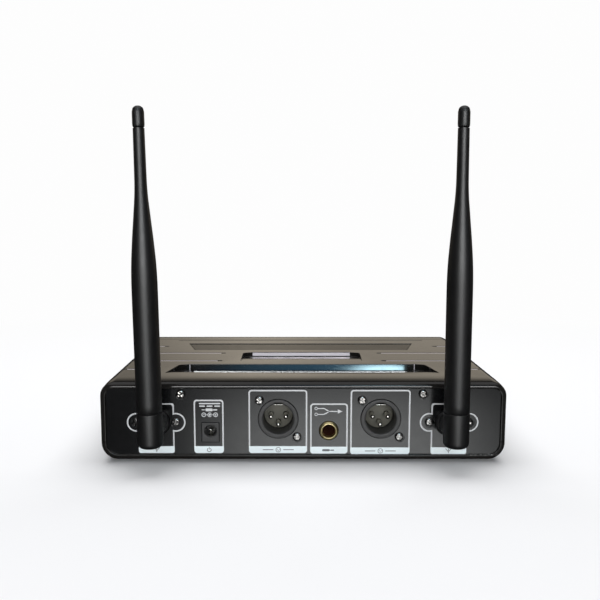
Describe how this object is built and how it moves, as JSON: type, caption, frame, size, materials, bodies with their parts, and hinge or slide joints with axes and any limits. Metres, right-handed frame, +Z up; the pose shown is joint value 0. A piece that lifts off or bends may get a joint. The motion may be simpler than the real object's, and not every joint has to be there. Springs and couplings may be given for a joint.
{
  "type": "wireless microphone receiver",
  "caption": "Half-rack wireless microphone receiver with a rear connector panel, swivelling whip antennas, front volume knobs and push buttons.",
  "frame": {"origin": "bottom centre of the whole object's box, antennas and knobs included, on the table", "axes": "+X to the right as seen from the connector side, +Y from the connector side towards the control side, +Z up"},
  "size_m": [0.214, 0.173, 0.1821],
  "materials": {
    "case_gloss_black": "glossy moulded ABS",
    "rear_panel_satin": "satin dark grey powder coat with white print",
    "front_panel_satin": "satin black plastic",
    "moulded_black": "satin black",
    "connector_ring_grey": "satin dark grey",
    "connector_insert": "matt olive grey",
    "antenna_sheath": "satin black rubber",
    "foot_rubber": "matt black rubber",
    "nickel_screw": "nickel plated",
    "contact_silver": "silver plated contact",
    "brass_gold": "gold plated brass",
    "board_green": "green solder mask",
    "tinned_steel": "tinned sheet steel",
    "display_glass": "tinted window",
    "display_panel": "dark liquid crystal module",
    "button_grey": "satin grey"
  },
  "bodies": {
    "case": {"upper_shell": "case_gloss_black", "lower_shell": "case_gloss_black", "front_bezel": "case_gloss_black", "rear_panel": "rear_panel_satin", "front_panel": "front_panel_satin", "foot_rear_a": "foot_rubber", "foot_front_a": "foot_rubber", "case_screw_rear_a": "nickel_screw", "case_screw_front_a": "nickel_screw", "foot_rear_b": "foot_rubber", "foot_front_b": "foot_rubber", "case_screw_rear_b": "nickel_screw", "case_screw_front_b": "nickel_screw", "main_board": "board_green", "control_board": "board_green", "radio_shield_a": "tinned_steel", "antenna_lead_a": "moulded_black", "radio_shield_b": "tinned_steel", "antenna_lead_b": "moulded_black", "xlr_shell_a": "connector_ring_grey", "xlr_insert_a": "connector_insert", "xlr_pin_a1": "contact_silver", "xlr_pin_a2": "contact_silver", "xlr_pin_a3": "contact_silver", "xlr_screw_a_upper": "nickel_screw", "xlr_screw_a_lower": "nickel_screw", "xlr_shell_b": "connector_ring_grey", "xlr_insert_b": "connector_insert", "xlr_pin_b1": "contact_silver", "xlr_pin_b2": "contact_silver", "xlr_pin_b3": "contact_silver", "xlr_screw_b_upper": "nickel_screw", "xlr_screw_b_lower": "nickel_screw", "jack_body": "moulded_black", "power_jack_body": "moulded_black", "jack_bushing": "brass_gold", "power_jack_pin": "contact_silver", "panel_screw_left": "nickel_screw", "panel_screw_right": "nickel_screw", "antenna_mount_a": "moulded_black", "mount_screw_a_left": "nickel_screw", "mount_screw_a_right": "nickel_screw", "antenna_mount_b": "moulded_black", "mount_screw_b_left": "nickel_screw", "mount_screw_b_right": "nickel_screw", "display_lens": "display_glass", "display_module": "display_panel", "volume_control_a": "tinned_steel", "volume_control_b": "tinned_steel"},
    "antenna_a": {"antenna_knuckle_a": "moulded_black", "antenna_whip_a": "antenna_sheath", "antenna_tip_a": "antenna_sheath"},
    "antenna_b": {"antenna_knuckle_b": "moulded_black", "antenna_whip_b": "antenna_sheath", "antenna_tip_b": "antenna_sheath"},
    "volume_a": {"volume_knob_a": "moulded_black"},
    "volume_b": {"volume_knob_b": "moulded_black"},
    "set_a": {"set_button_a": "button_grey"},
    "set_b": {"set_button_b": "button_grey"},
    "power": {"power_button": "button_grey"}
  },
  "joints": [
    {"name": "antenna_a_swivel", "type": "hinge", "parent": "case", "child": "antenna_a", "pos_m": [0.077, -0.08, 0.0215], "axis": [0, 1, 0], "range_deg": [-25, 90]},
    {"name": "antenna_b_swivel", "type": "hinge", "parent": "case", "child": "antenna_b", "pos_m": [-0.0776, -0.08, 0.0215], "axis": [0, 1, 0], "range_deg": [-90, 25]},
    {"name": "volume_a_turn", "type": "hinge", "parent": "case", "child": "volume_a", "pos_m": [0.074, 0.073, 0.0223], "axis": [0, 1, 0], "range_deg": [-140, 140]},
    {"name": "volume_b_turn", "type": "hinge", "parent": "case", "child": "volume_b", "pos_m": [-0.074, 0.073, 0.0223], "axis": [0, 1, 0], "range_deg": [-140, 140]},
    {"name": "set_a_press", "type": "slide", "parent": "case", "child": "set_a", "axis": [0, -1, 0], "range_m": [0, 0.0008], "stiffness_N_per_m": 1500},
    {"name": "set_b_press", "type": "slide", "parent": "case", "child": "set_b", "axis": [0, -1, 0], "range_m": [0, 0.0008], "stiffness_N_per_m": 1500},
    {"name": "power_press", "type": "slide", "parent": "case", "child": "power", "axis": [0, -1, 0], "range_m": [0, 0.0008], "stiffness_N_per_m": 1500}
  ]
}
